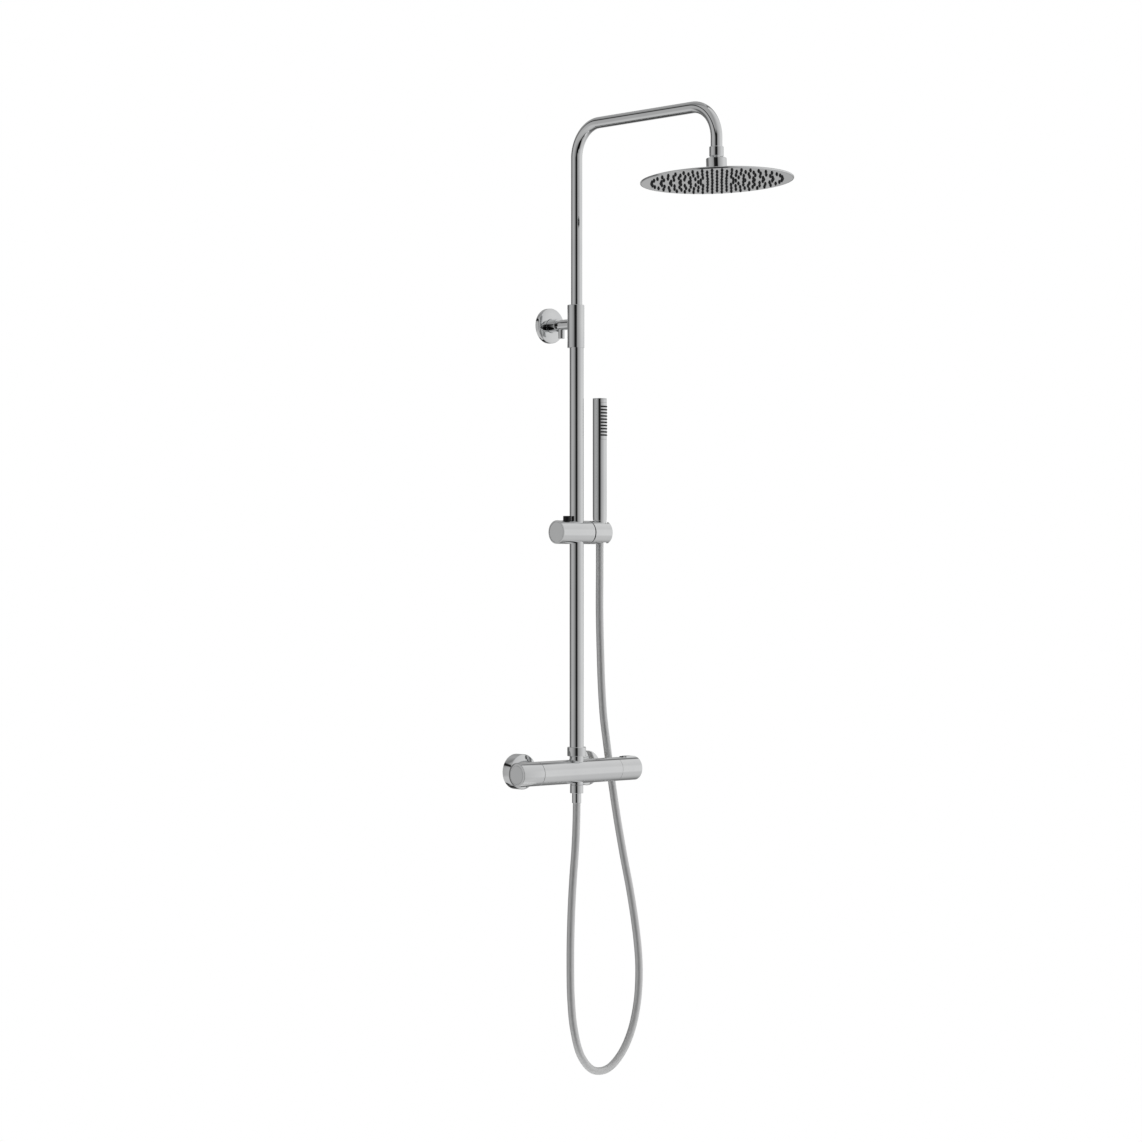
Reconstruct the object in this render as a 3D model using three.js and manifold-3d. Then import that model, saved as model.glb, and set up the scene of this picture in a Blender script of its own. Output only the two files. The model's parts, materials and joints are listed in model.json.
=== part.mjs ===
// A wall-hung thermostatic shower column: bar valve, telescopic riser, overhead rain head on a
// swivelling arm, and a stick hand shower in a sliding holder.
// Millimetres, +Z up, +Y into the wall. The origin is on the wall face, midway between the two
// water inlets and at their height.
import * as THREE from "three";
import { mergeVertices } from "three/addons/utils/BufferGeometryUtils.js";
import Module from "manifold-3d";

const wasm = await Module();
wasm.setup();

// ---- Driving dimensions
const GAP = 0.3; // clearance between pieces that meet or slide
const AXIS_OUT = 72; // wall face to the axis of bar, riser and slider
const INLET_SPACING = 150; // standard distance between hot and cold
const INLET_X = [-INLET_SPACING / 2, INLET_SPACING / 2];
const INLET_NUT_R = 17.3; // across the corners of its hexagon
const BAR_R = 20.5;
const BAR_HALF = 90.3; // half the length of the valve body
const HANDLE_LENGTH = 46.2;
const BORE_R = 15.3; // cartridge bore
const BORE_FLOOR = 40;
const LOWER_TUBE_R = 12;
const LOWER_TUBE_WALL = 1.2;
const UPPER_TUBE_R = 9.5;
const UPPER_TUBE_WALL = 1.2;
const SLEEVE_BOTTOM = 723;
const SLEEVE_TOP = 796;
const SLEEVE_R = 14.45;
const SLEEVE_SET_BACK = 2; // the sleeve's axis lies this far behind the tube's
const BRACKET_HEIGHT = 764;
const ARM_HEIGHT = 1101;
const ARM_REACH = 334.5;
const ARM_BEND = 55;
const TUBE_FOOT = 600; // lower end of the upper tube, inside the lower one
const SLIDER_HEIGHT = 408;
const SLIDER_R = 20;
const SLIDER_LEFT = -47;
const SLIDER_SEAM = 26.5; // middle of the dark friction washer
const SLIDER_RIGHT = 66.6;
const HANDSET_X = 54;
const HANDSET_R = 12;
const HANDSET_TOP = 230.6; // above the slider's axis
const BALL_HEIGHT = 1001;
const BALL_R = 9.3;
const HEAD_R = 125;
const HEAD_FACE = -26.5; // underside of the head, from the ball's centre
const HEAD_LEAN = 2.8; // degrees that the head leans towards the room at rest
const HOSE_R = 6.5;
const HOSE_STEPS = 46;
const HOSE_SIDES = 8;
// Sides of the round pieces, by size.
const WIDE = 36;
const FINE = 24;
const PLAIN = 16;
const SMALL = 12;

// Centreline of the hose, from the outlet under the valve to the hand shower, as it hangs.
const HOSE_ROUTE = [
  [0, -72, -54.3],
  [-0.3, -72, -75],
  [-1.5, -72, -105],
  [-3.8, -72, -138],
  [-8, -72, -180],
  [-11.5, -72, -225],
  [-13.8, -72, -275],
  [-14.6, -72, -325],
  [-13.6, -72.5, -385],
  [-7.5, -73.5, -440],
  [8, -75, -487],
  [34, -77, -513],
  [66, -78.5, -514],
  [97, -79.5, -492],
  [121, -80, -455],
  [136, -80, -405],
  [142.5, -77.5, -350],
  [141.5, -74, -300],
  [135, -65, -222],
  [127, -54, -150],
  [120, -46, -88],
  [114, -41.5, -38],
  [107.5, -40, 4],
  [98, -42.5, 45],
  [86, -47.5, 90],
  [74, -55.5, 142],
  [62.5, -64.5, 207],
  [55.5, -70, 275],
  [54.2, -71.7, 335],
  [54, -72, 364],
  [54, -72, 391.4],
];

// ---- Finishes
const FINISHES = {
  chrome: [0xd9dde0, 0.07, 1],
  steel: [0xc6cacc, 0.22, 1],
  brass: [0xb08d4a, 0.4, 1],
  blackPlastic: [0x151516, 0.4, 0],
  greyPlastic: [0xc3c6c8, 0.5, 0],
  silicone: [0x2e3033, 0.6, 0],
  rubber: [0x1d1d1e, 0.75, 0],
  hose: [0xb9bdc0, 0.3, 0.6],
};

function material(finish) {
  const [color, roughness, metalness] = FINISHES[finish];
  return new THREE.MeshStandardMaterial({ color, roughness, metalness });
}

// ---- Solids
function solidOf(geometry) {
  const bare = geometry.clone();
  bare.deleteAttribute("normal");
  bare.deleteAttribute("uv");
  const merged = mergeVertices(bare, 1e-3);
  const index = merged.index.array;
  const triangles = [];
  for (let i = 0; i < index.length; i += 3) {
    const [a, b, c] = [index[i], index[i + 1], index[i + 2]];
    if (a !== b && b !== c && c !== a) triangles.push([a, b, c]);
  }
  const make = (corners) =>
    new wasm.Manifold(
      new wasm.Mesh({
        numProp: 3,
        vertProperties: merged.attributes.position.array,
        triVerts: new Uint32Array(corners.flat()),
      }),
    );
  const made = make(triangles);
  return made.volume() > 0 ? made : make(triangles.map(([a, b, c]) => [a, c, b]));
}

function geometryOf(solid) {
  const mesh = solid.getMesh();
  const geometry = new THREE.BufferGeometry();
  const positions = new THREE.BufferAttribute(new Float32Array(mesh.vertProperties), 3);
  geometry.setAttribute("position", positions);
  geometry.setIndex(new THREE.BufferAttribute(new Uint32Array(mesh.triVerts), 1));
  geometry.computeVertexNormals();
  return geometry;
}

function join(first, ...others) {
  return geometryOf(others.reduce((whole, g) => whole.add(solidOf(g)), solidOf(first)));
}

function cut(first, ...tools) {
  return geometryOf(tools.reduce((whole, g) => whole.subtract(solidOf(g)), solidOf(first)));
}

function common(first, second) {
  return geometryOf(solidOf(first).intersect(solidOf(second)));
}

// A solid of revolution about Z from [radius, height] points. A profile that starts off the axis
// closes on itself.
function turned(profile, sides = PLAIN) {
  const points = profile.map(([r, z]) => new THREE.Vector2(r, z));
  if (points[0].x > 0) points.push(points[0].clone());
  return geometryOf(solidOf(new THREE.LatheGeometry(points, sides).rotateX(Math.PI / 2)));
}

function round(r, from, to, sides) {
  return turned([[0, from], [r, from], [r, to], [0, to]], sides);
}

function ring(outer, inner, from, to, sides) {
  return turned([[inner, from], [outer, from], [outer, to], [inner, to]], sides);
}

function box(x0, x1, y0, y1, z0, z1) {
  const block = new THREE.BoxGeometry(x1 - x0, y1 - y0, z1 - z0);
  return block.translate((x0 + x1) / 2, (y0 + y1) / 2, (z0 + z1) / 2);
}

const alongX = (geometry) => geometry.rotateY(Math.PI / 2);
const alongMinusX = (geometry) => geometry.rotateY(-Math.PI / 2);
const alongY = (geometry) => geometry.rotateX(-Math.PI / 2);

// Points of a circular arc of a profile, from one angle to another, in degrees.
function arc(r, centreZ, from, to, steps) {
  return Array.from({ length: steps + 1 }, (_, i) => {
    const angle = THREE.MathUtils.degToRad(from + ((to - from) * i) / steps);
    return [r * Math.cos(angle), centreZ + r * Math.sin(angle)];
  });
}

// A path that is sampled only at its own stations, so straights cost no extra steps.
class StationPath extends THREE.Curve {
  constructor(stations) {
    super();
    this.stations = stations;
  }
  getPoint(t, target = new THREE.Vector3()) {
    const place = t * (this.stations.length - 1);
    return target.copy(this.stations[Math.round(place)].point);
  }
  getPointAt(u, target) {
    return this.getPoint(u, target);
  }
  getTangentAt(u, target = new THREE.Vector3()) {
    const place = u * (this.stations.length - 1);
    return target.copy(this.stations[Math.round(place)].tangent);
  }
}

function polygon(r, sides) {
  return Array.from({ length: sides }, (_, i) => {
    const angle = (2 * Math.PI * i) / sides;
    return new THREE.Vector2(r * Math.cos(angle), r * Math.sin(angle));
  });
}

function swept(stations, outer, inner, sides) {
  const section = new THREE.Shape(polygon(outer, sides));
  if (inner) section.holes.push(new THREE.Path(polygon(inner, sides - 4)));
  const extrudePath = new StationPath(stations);
  const options = { steps: stations.length - 1, extrudePath };
  return geometryOf(solidOf(new THREE.ExtrudeGeometry(section, options)));
}

// Stations along straight runs joined by round bends.
function bentStations(corners, bend, stepsPerBend) {
  const points = corners.map((c) => new THREE.Vector3(...c));
  const last = points.length - 1;
  const runs = points.slice(1).map((p, i) => p.clone().sub(points[i]).normalize());
  const stations = [{ point: points[0], tangent: runs[0] }];
  for (let i = 1; i < last; i++) {
    const [before, after] = [runs[i - 1], runs[i]];
    const turn = before.angleTo(after);
    const inward = after.clone().addScaledVector(before, -Math.cos(turn)).normalize();
    const centre = points[i].clone().addScaledVector(before, -bend * Math.tan(turn / 2));
    centre.addScaledVector(inward, bend);
    for (let k = 0; k <= stepsPerBend; k++) {
      const angle = (turn * k) / stepsPerBend;
      stations.push({
        point: centre
          .clone()
          .addScaledVector(inward, -bend * Math.cos(angle))
          .addScaledVector(before, bend * Math.sin(angle)),
        tangent: before
          .clone()
          .multiplyScalar(Math.cos(angle))
          .addScaledVector(inward, Math.sin(angle)),
      });
    }
  }
  stations.push({ point: points[last], tangent: runs[last - 1] });
  return stations;
}

// A compression spring about Z.
function coil(r, wire, from, to, turns) {
  const steps = turns * 8;
  const rise = (to - from - 2 * wire) / (2 * Math.PI * turns);
  const stations = Array.from({ length: steps + 1 }, (_, i) => {
    const angle = (2 * Math.PI * turns * i) / steps;
    return {
      point: new THREE.Vector3(r * Math.cos(angle), r * Math.sin(angle), from + wire + rise * angle),
      tangent: new THREE.Vector3(-r * Math.sin(angle), r * Math.cos(angle), rise).normalize(),
    };
  });
  return swept(stations, wire, 0, 5);
}

// ---- The assembly
const column = new THREE.Group();

function group(parent, x, y, z) {
  const made = new THREE.Group();
  made.position.set(x, y, z);
  parent.add(made);
  return made;
}

function piece(parent, name, finish, geometry, place = [0, 0, 0]) {
  const mesh = new THREE.Mesh(geometry, material(finish));
  mesh.name = name;
  mesh.position.set(...place);
  parent.add(mesh);
}

const onAxis = group(column, 0, -AXIS_OUT, 0);

buildValve(onAxis);
buildInlet(group(onAxis, INLET_X[0], 0, 0), "left");
buildInlet(group(onAxis, INLET_X[1], 0, 0), "right");
buildFlowHandle(onAxis);
buildTemperatureHandle(onAxis);
buildRiser(onAxis);
buildBracket(group(onAxis, 0, 0, BRACKET_HEIGHT));
buildSlider(group(onAxis, 0, 0, SLIDER_HEIGHT));
buildHolder(group(onAxis, 0, 0, SLIDER_HEIGHT));
buildHandset(group(onAxis, HANDSET_X, 0, SLIDER_HEIGHT));
buildArm(onAxis);
buildHead(group(onAxis, 0, -ARM_REACH, BALL_HEIGHT));
buildHose(column);

// The bar: a cartridge bore at each end, two inlet spigots at the back, the riser's boss on top
// and the hose's threaded stub below.
function buildValve(parent) {
  const bar = turned([
    [0, -BORE_FLOOR], [BORE_R, -BORE_FLOOR], [BORE_R, -BAR_HALF], [BAR_R - 0.4, -BAR_HALF],
    [BAR_R, 0.4 - BAR_HALF], [BAR_R, BAR_HALF - 0.4], [BAR_R - 0.4, BAR_HALF],
    [BORE_R, BAR_HALF], [BORE_R, BORE_FLOOR], [0, BORE_FLOOR],
  ], FINE);
  const spigot = [[0, 16], [10.8, 16], [10.8, 28.8], [12.8, 28.8], [12.8, 31], [0, 31]];
  const boss = turned([
    [0, 5], [LOWER_TUBE_R, 5], [LOWER_TUBE_R, 26.1], [13.9, 26.1], [13.9, 34], [0, 34],
  ]);
  const stub = turned([
    [0, -33], [9.2, -33], [9.2, -22.7], [11.2, -22.7], [11.2, -5], [0, -5],
  ], SMALL);
  const waterway = [
    alongX(round(6, -BORE_FLOOR - 1, BORE_FLOOR + 1, SMALL)),
    round(7, 0, 35, SMALL),
    round(5, -34, 0, SMALL),
  ];
  const inlets = INLET_X.map((x) => alongY(turned(spigot)).translate(x, 0, 0));
  const ports = INLET_X.map((x) => alongY(round(7.6, 14, 32, SMALL)).translate(x, 0, 0));
  const clearBores = [alongX, alongMinusX].map((turn) =>
    turn(round(BORE_R, BORE_FLOOR, BAR_HALF, FINE)));
  const body = cut(join(alongX(bar), ...inlets, boss, stub), ...waterway, ...ports, ...clearBores);
  piece(parent, "valve_body", "chrome", body);

  const cartridge = [
    [0, 41], [12.6, 41], [12.6, 45], [15, 45], [15, 58], [13.4, 58], [13.4, 68], [15, 68],
    [15, 90], [4.4, 90], [4.4, 58], [0, 58],
  ];
  piece(parent, "thermostatic_cartridge", "brass", alongX(turned(cartridge, SMALL)));
  piece(parent, "flow_cartridge", "brass", alongMinusX(turned(cartridge, SMALL)));
  const stopRing = join(ring(12.5, 8, 90.6, 96, SMALL), box(-14.5, -11.5, -2, 2, 90.6, 96));
  piece(parent, "temperature_stop_ring", "greyPlastic", alongX(stopRing));

  piece(parent, "hose_nut", "chrome", turned([
    [9.6, -23], [10.9, -23], [11.25, -23.4], [11.25, -36.6], [10.9, -37], [6.9, -37],
    [6.9, -36.1], [9.6, -36.1],
  ], SMALL));
  piece(parent, "hose_ferrule_lower", "chrome", turned([
    [3.5, -35], [9.2, -35], [9.2, -35.8], [6.5, -35.8], [6.5, -37.3], [7.75, -37.3],
    [7.75, -53.4], [7.3, -54], [3.5, -54],
  ], SMALL));
}

// One water inlet, from the wall to the bar. Y runs from the bar's axis to the wall.
function buildInlet(parent, side) {
  const [front, back] = [22.3, 42];
  const hexagon = new THREE.CylinderGeometry(INLET_NUT_R, INLET_NUT_R, back - front, 6)
    .rotateX(Math.PI / 2)
    .translate(0, 0, (front + back) / 2);
  const chamfered = turned([
    [0, front], [15.4, front], [INLET_NUT_R, front + 1.3], [INLET_NUT_R, back - 1.3],
    [15.4, back], [0, back],
  ], SMALL);
  const nut = cut(
    common(hexagon, chamfered),
    round(11.2, 20, 30),
    round(13.2, 28.4, 44),
  );
  piece(parent, `inlet_nut_${side}`, "chrome", alongY(nut));
  piece(parent, `check_valve_${side}`, "greyPlastic", alongY(turned([
    [0, 16.5], [5, 16.5], [7.2, 19], [7.2, 22], [6.4, 23], [6.4, 26], [7.2, 27], [7.2, 30.4],
    [0, 30.4],
  ], SMALL)));
  piece(parent, `inlet_union_${side}`, "brass", alongY(turned([
    [7.5, 31.4], [12.8, 31.4], [12.8, 44], [15.5, 44], [15.5, 57], [10.4, 57], [10.4, AXIS_OUT],
    [6.5, AXIS_OUT], [6.5, 42], [7.5, 42],
  ], SMALL)));
  piece(parent, `inlet_rosette_${side}`, "chrome", alongY(turned([
    [16, 52], [28.4, 52], [29.6, 52.5], [30.1, 53.7], [30.1, AXIS_OUT], [28.1, AXIS_OUT],
    [28.1, 54], [16, 54],
  ], FINE)));
}

// The profile shared by both handles: u runs outwards from the end of the bar.
function handleShell() {
  const end = HANDLE_LENGTH;
  return turned([
    [17.5, 0], [BAR_R - 0.4, 0], [BAR_R, 0.4], [BAR_R, end - 1.5], [BAR_R - 0.5, end - 0.5],
    [BAR_R - 1.5, end], [15.3, end], [15.3, end - 1.8], [2.6, end - 1.8],
    [2.6, end - 5.5], [17.5, end - 5.5],
  ], FINE);
}

function handleInsert() {
  return turned([[4.6, 18], [8, 18], [8, 32], [17.2, 32], [17.2, 38], [4.6, 38]], SMALL);
}

function handleSpindle() {
  return turned([[0, -31], [4, -31], [4, 40], [2.3, 40], [2.3, 44], [0, 44]], SMALL);
}

function handleCap() {
  return turned([[0, 44.7], [15, 44.7], [15, 45.9], [14.7, 46.2], [0, 46.2]]);
}

// On/off and diverter handle at the left end.
function buildFlowHandle(parent) {
  const place = group(parent, -BAR_HALF - 0.5, 0, 0);
  piece(place, "flow_handle", "chrome", alongMinusX(handleShell()));
  piece(place, "flow_handle_insert", "greyPlastic", alongMinusX(handleInsert()));
  piece(place, "flow_spindle", "brass", alongMinusX(handleSpindle()));
  piece(place, "flow_handle_cap", "chrome", alongMinusX(handleCap()));
}

// Temperature handle at the right end, with a low grip and the safety-stop button on top.
function buildTemperatureHandle(parent) {
  const place = group(parent, BAR_HALF + 0.5, 0, 0);
  const side = new THREE.Shape();
  side.moveTo(20.5, 18);
  side.lineTo(21.3, 21.2);
  side.quadraticCurveTo(22, 22, 24, 22);
  side.lineTo(38, 21.6);
  side.quadraticCurveTo(43, 21.2, 45, 19);
  side.lineTo(45, 18);
  const grip = new THREE.ExtrudeGeometry(side, { depth: 12, bevelEnabled: false, curveSegments: 4 });
  grip.rotateX(Math.PI / 2).translate(0, 6, 0);
  const buttonX = 14.7;
  const buttonHole = round(4, 12, 30, SMALL).translate(buttonX, 0, 0);
  piece(place, "temperature_handle", "chrome", cut(join(alongX(handleShell()), grip), buttonHole));
  const shelf = box(9.5, 24, -5, 5, 6, 9);
  const insert = cut(join(alongX(handleInsert()), shelf), alongX(round(4.6, 5, 45, SMALL)));
  piece(place, "temperature_handle_insert", "greyPlastic", insert);
  piece(place, "temperature_spindle", "brass", alongX(handleSpindle()));
  piece(place, "temperature_handle_cap", "chrome", alongX(handleCap()));
  piece(place, "stop_button", "blackPlastic", turned([
    [0, 13.9], [4.6, 13.9], [4.6, 15.2], [3.6, 15.2], [3.6, 21.2], [3.2, 21.6], [0, 21.6],
  ], SMALL), [buttonX, 0, 0]);
  piece(place, "stop_button_spring", "steel", coil(3, 0.5, 9.3, 13.6, 3), [buttonX, 0, 0]);
}

// Union nut and the lower tube.
function buildRiser(parent) {
  piece(parent, "riser_nut", "chrome", turned([
    [14.3, 26.3], [15.4, 26.3], [16, 26.9], [16, 41.2], [15.4, 41.8], [12.3, 41.8], [12.3, 38],
    [14.3, 38],
  ]));
  const inner = LOWER_TUBE_R - LOWER_TUBE_WALL;
  piece(parent, "lower_riser_tube", "chrome", turned([
    [inner, 34.3], [13.9, 34.3], [13.9, 37.6], [LOWER_TUBE_R, 37.6],
    [LOWER_TUBE_R, SLEEVE_BOTTOM - GAP], [inner, SLEEVE_BOTTOM - GAP],
  ]));
}

// Sleeve that joins the two tubes, with its link to the wall post. Z is from the bracket's height.
function buildBracket(parent) {
  const [bottom, top] = [SLEEVE_BOTTOM - BRACKET_HEIGHT, SLEEVE_TOP - BRACKET_HEIGHT];
  const postFace = AXIS_OUT - 27; // front of the wall post
  const pinY = 38.3;
  const bore = UPPER_TUBE_R + GAP;
  const barrel = turned([
    [0, bottom], [SLEEVE_R - 0.3, bottom], [SLEEVE_R, bottom + 0.3], [SLEEVE_R, top - 0.8],
    [SLEEVE_R - 0.8, top], [0, top],
  ]).translate(0, SLEEVE_SET_BACK, 0);
  const spigot = round(10.5, bottom - 25, bottom + 5);
  const linkProfile = [
    [0, 8], [8.9, 8], [8.9, postFace - 0.8], [8.3, postFace - GAP], [0, postFace - GAP],
  ];
  const link = alongY(turned(linkProfile));
  const sleeve = cut(
    join(barrel, spigot, link),
    round(bore, bottom - 30, top + 5),
    box(-9.5, 9.5, pinY - 7.3, postFace + 5, -2.8, 2.8),
    round(5.8, -12, 5.6, SMALL).translate(0, pinY, 0),
    alongX(round(2.3, 5, 20, SMALL)).translate(0, 0, bottom + 12),
  );
  piece(parent, "bracket_sleeve", "chrome", sleeve);
  const grubScrew = alongX(round(2, 10.1, 14, SMALL));
  piece(parent, "sleeve_grub_screw", "steel", grubScrew, [0, 0, bottom + 12]);
  piece(parent, "bracket_pin", "chrome", turned([
    [0, -23.2], [5, -23.2], [5.5, -22.7], [5.5, 5.2], [0, 5.2],
  ], SMALL), [0, pinY, 0]);

  const post = alongY(turned([
    [0, postFace], [10.9, postFace], [11.5, postFace + 0.8], [11.5, 67.7], [5.3, 67.7],
    [5.3, 55], [0, 55],
  ]));
  const tongue = box(-7, 7, pinY - 6.9, postFace + 2, -2.5, 2.5);
  const wallPost = cut(join(post, tongue), round(5.8, -5, 5, SMALL).translate(0, pinY, 0));
  piece(parent, "bracket_post", "chrome", wallPost);
  const plateY = AXIS_OUT - 4;
  piece(parent, "bracket_wall_plate", "steel", alongY(turned([
    [0, 56], [5, 56], [5, plateY], [24, plateY], [24, AXIS_OUT], [0, AXIS_OUT],
  ])));
  piece(parent, "bracket_rosette", "chrome", alongY(turned([
    [11.9, 64], [28.7, 64], [29.6, 64.4], [30, 65.3], [30, AXIS_OUT], [28.3, AXIS_OUT],
    [28.3, 65.5], [11.9, 65.5],
  ], FINE)));
}

// The height-adjustable carrier on the lower tube.
function buildSlider(parent) {
  const seamLeft = SLIDER_SEAM - 0.6 - GAP;
  const outer = turned([
    [0, SLIDER_LEFT], [SLIDER_R - 0.8, SLIDER_LEFT], [SLIDER_R, SLIDER_LEFT + 0.8],
    [SLIDER_R, seamLeft], [0, seamLeft],
  ], FINE);
  const buttonX = -21.8;
  const body = cut(
    alongX(outer),
    alongX(round(17.5, SLIDER_LEFT - 1, SLIDER_LEFT + 2.7)),
    alongX(round(12, SLIDER_LEFT - 1, -10, SMALL)),
    round(14, -25, 25),
    alongX(round(6.3, 5, 30, SMALL)),
    round(7.4, 0, 25, SMALL).translate(buttonX, 0, 0),
  );
  piece(parent, "slider_body", "chrome", body);
  const bush = cut(
    ring(13.7, LOWER_TUBE_R + GAP, -13.5, 13.5),
    alongX(round(6.6, -20, 0, SMALL)),
  );
  piece(parent, "slider_bush", "greyPlastic", bush);
  const shoe = cut(alongX(round(6.2, -30, -12.6, SMALL)), box(-35, -13.4, -10, 10, 2.2, 10));
  piece(parent, "clamp_shoe", "blackPlastic", shoe);
  piece(parent, "clamp_spring", "steel", alongX(coil(4.6, 0.8, -43.9, -30.3, 4)));
  piece(parent, "slider_end_cap", "chrome", alongX(turned([
    [0, SLIDER_LEFT], [16.9, SLIDER_LEFT], [17.2, SLIDER_LEFT + 0.3],
    [17.2, SLIDER_LEFT + 2.4], [0, SLIDER_LEFT + 2.4],
  ])));
  piece(parent, "release_button", "blackPlastic", turned([
    [0, 5.5], [7.6, 5.5], [7.6, 7.4], [7, 7.4], [7, 27], [6.3, 27.7], [0, 27.7],
  ], SMALL), [buttonX, 0, 0]);
  piece(parent, "tilt_axle", "steel", alongX(round(6, 14.6, 39.4, SMALL)));
  piece(parent, "friction_washer", "rubber", alongX(
    ring(19.4, 6.3, SLIDER_SEAM - 0.6, SLIDER_SEAM + 0.6),
  ));
}

// The tilting cradle. Its tapered seat is open on the right, so that the hose can be laid in.
function buildHolder(parent) {
  const left = SLIDER_SEAM + 0.6 + GAP;
  const outer = turned([
    [0, left], [SLIDER_R, left], [SLIDER_R, SLIDER_RIGHT - 1.2], [SLIDER_R - 1.2, SLIDER_RIGHT],
    [0, SLIDER_RIGHT],
  ], FINE);
  const seat = (extra) => turned([[0, -22], [9.9 + extra, -22], [12.1 + extra, 22], [0, 22]])
    .translate(HANDSET_X, 0, 0);
  const mouth = box(HANDSET_X, SLIDER_RIGHT + 5, -8, 8, -25, 25);
  const body = cut(alongX(outer), seat(1.3), mouth, alongX(round(6.3, left - 1, 39.8, SMALL)));
  piece(parent, "holder", "chrome", body);
  const sleeve = cut(
    common(seat(1), box(30, HANDSET_X + 9, -20, 20, -14.5, 14.5)),
    seat(0),
    box(HANDSET_X, SLIDER_RIGHT + 5, -8, 8, -25, 25),
  );
  piece(parent, "holder_liner", "greyPlastic", sleeve);
}

// The stick hand shower and the hose's cone nut, about the cradle's axis.
function buildHandset(parent) {
  piece(parent, "hose_cone_nut", "chrome", turned([
    [7.2, -17], [9.5, -17], [9.85, -16.6], [11.7, 20.6], [11.5, 21], [8.9, 21], [8.9, -2.5],
    [7.2, -2.5],
  ]));
  piece(parent, "hose_ferrule_upper", "chrome", turned([
    [3.5, -16], [6.8, -16], [6.8, -2.2], [8.5, -2.2], [8.5, 0], [3.5, 0],
  ], SMALL));
  const [faceBottom, faceTop] = [160, 223.5];
  const shell = turned([
    [6.4, 2.3], [8.5, 2.3], [8.5, 21.4], [11.75, 21.4], [HANDSET_R, 28],
    [HANDSET_R, HANDSET_TOP - 1.6], [10.6, HANDSET_TOP - 1.6], [10.6, 26], [6.4, 21.4],
  ]);
  const window = box(-8.4, 8.4, -15, -6, faceBottom, faceTop);
  piece(parent, "handset_body", "chrome", cut(shell, window));
  piece(parent, "handset_top_cap", "chrome", turned([
    [0, HANDSET_TOP - 6], [10.3, HANDSET_TOP - 6], [10.3, HANDSET_TOP - 1.3],
    [HANDSET_R, HANDSET_TOP - 1.3], [HANDSET_R, HANDSET_TOP - 0.4],
    [HANDSET_R - 0.4, HANDSET_TOP], [0, HANDSET_TOP],
  ]));
  const [slotRows, firstSlot, slotPitch] = [10, 167.3, 5.45];
  const rows = Array.from({ length: slotRows }, (_, i) => firstSlot + slotPitch * i);
  const facePlate = common(
    ring(HANDSET_R, 10.4, faceBottom + GAP, faceTop - GAP),
    box(-8.1, 8.1, -15, -6, faceBottom, faceTop),
  );
  const slots = rows.map((z) => box(-6.8, 6.8, -15, -6, z - 1.4, z + 1.4));
  piece(parent, "handset_face", "chrome", cut(facePlate, ...slots));
  const pad = common(ring(10, 8.6, 161, 222.5, SMALL), box(-7.6, 7.6, -15, -5, 150, 230));
  const bars = rows.map((z) => common(
    ring(13, 9.2, z - 1.05, z + 1.05, SMALL),
    box(-6.4, 6.4, -15, -6, z - 3, z + 3),
  ));
  piece(parent, "handset_nozzles", "silicone", join(pad, ...bars));
  piece(parent, "handset_water_tube", "greyPlastic", ring(8.2, 6.4, 26.5, 223, SMALL));
}

// The upper tube with its arm, and what turns and seals it.
function buildArm(parent) {
  const stations = bentStations(
    [[0, 0, TUBE_FOOT], [0, 0, ARM_HEIGHT], [0, -ARM_REACH, ARM_HEIGHT], [0, -ARM_REACH, 1020.6]],
    ARM_BEND, 7,
  );
  const arm = swept(stations, UPPER_TUBE_R, UPPER_TUBE_R - UPPER_TUBE_WALL, PLAIN);
  piece(parent, "shower_arm", "chrome", arm);
  piece(parent, "tube_bush", "greyPlastic", turned([
    [5, TUBE_FOOT - 12], [10.5, TUBE_FOOT - 12], [10.5, TUBE_FOOT - 0.3], [8, TUBE_FOOT - 0.3],
    [8, TUBE_FOOT + 16], [5, TUBE_FOOT + 16],
  ], SMALL));
  piece(parent, "arm_collar", "chrome", turned([
    [6.3, 1014.3], [10.3, 1014.3], [11.75, 1015.8], [11.75, 1030.2], [11.2, 1031],
    [UPPER_TUBE_R + GAP, 1031], [UPPER_TUBE_R + GAP, 1020.3], [6.3, 1020.3],
  ]), [0, -ARM_REACH, 0]);
  piece(parent, "swivel_ball", "chrome", turned([
    [3.5, 1019.9], [3.5, BALL_HEIGHT - 8.6],
    ...arc(BALL_R, BALL_HEIGHT, -66, 49, 7), [6, 1008.3], [6, 1019.9],
  ]), [0, -ARM_REACH, 0]);
}

// The rain head, about the ball's centre, leaning a little towards the room.
function buildHead(parent) {
  piece(parent, "ball_seat", "greyPlastic", turned([
    ...arc(9.65, 0, -50, -13, 4), ...arc(11.1, 0, -12, -50, 4),
  ]));
  const lean = new THREE.Group();
  lean.rotation.x = -THREE.MathUtils.degToRad(HEAD_LEAN);
  parent.add(lean);

  piece(lean, "ball_nut", "chrome", turned([
    [8.6, 11.2], [8.6, 4.6], ...arc(9.65, 0, 26, 14, 2), ...arc(11.5, 0, 11, 0, 2),
    [11.6, -0.9], [13.3, -0.9], [13.3, -7], [16.1, -7], [16.75, -6.4], [16.75, 10.5], [16, 11.2],
  ]));
  const face = HEAD_FACE;
  piece(lean, "head_shell", "chrome", turned([
    ...arc(11.5, 0, -8, -52, 4), [7, -12.3], [15, -12.6], [60, face + 10.1], [119.5, face + 3.1],
    [123.9, face + 2.1], [123.9, face], [HEAD_R - 0.4, face], [HEAD_R, face + 0.4],
    [HEAD_R, face + 2.2], [HEAD_R - 0.7, face + 2.9], [119.5, face + 4.3],
    [60, face + 11.4], [19, -8.4], [17, -7.4], [13, -7.4], [13, -1.6],
  ], WIDE));
  piece(lean, "spray_chamber", "greyPlastic", ring(98, 8, face + 3, face + 4.4, WIDE));

  piece(lean, "head_face_plate", "chrome", round(123.4, face, face + 1, WIDE));
  piece(lean, "nozzle_mat", "silicone", round(112, face + 1.3, face + 2.6, WIDE));
}

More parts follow.
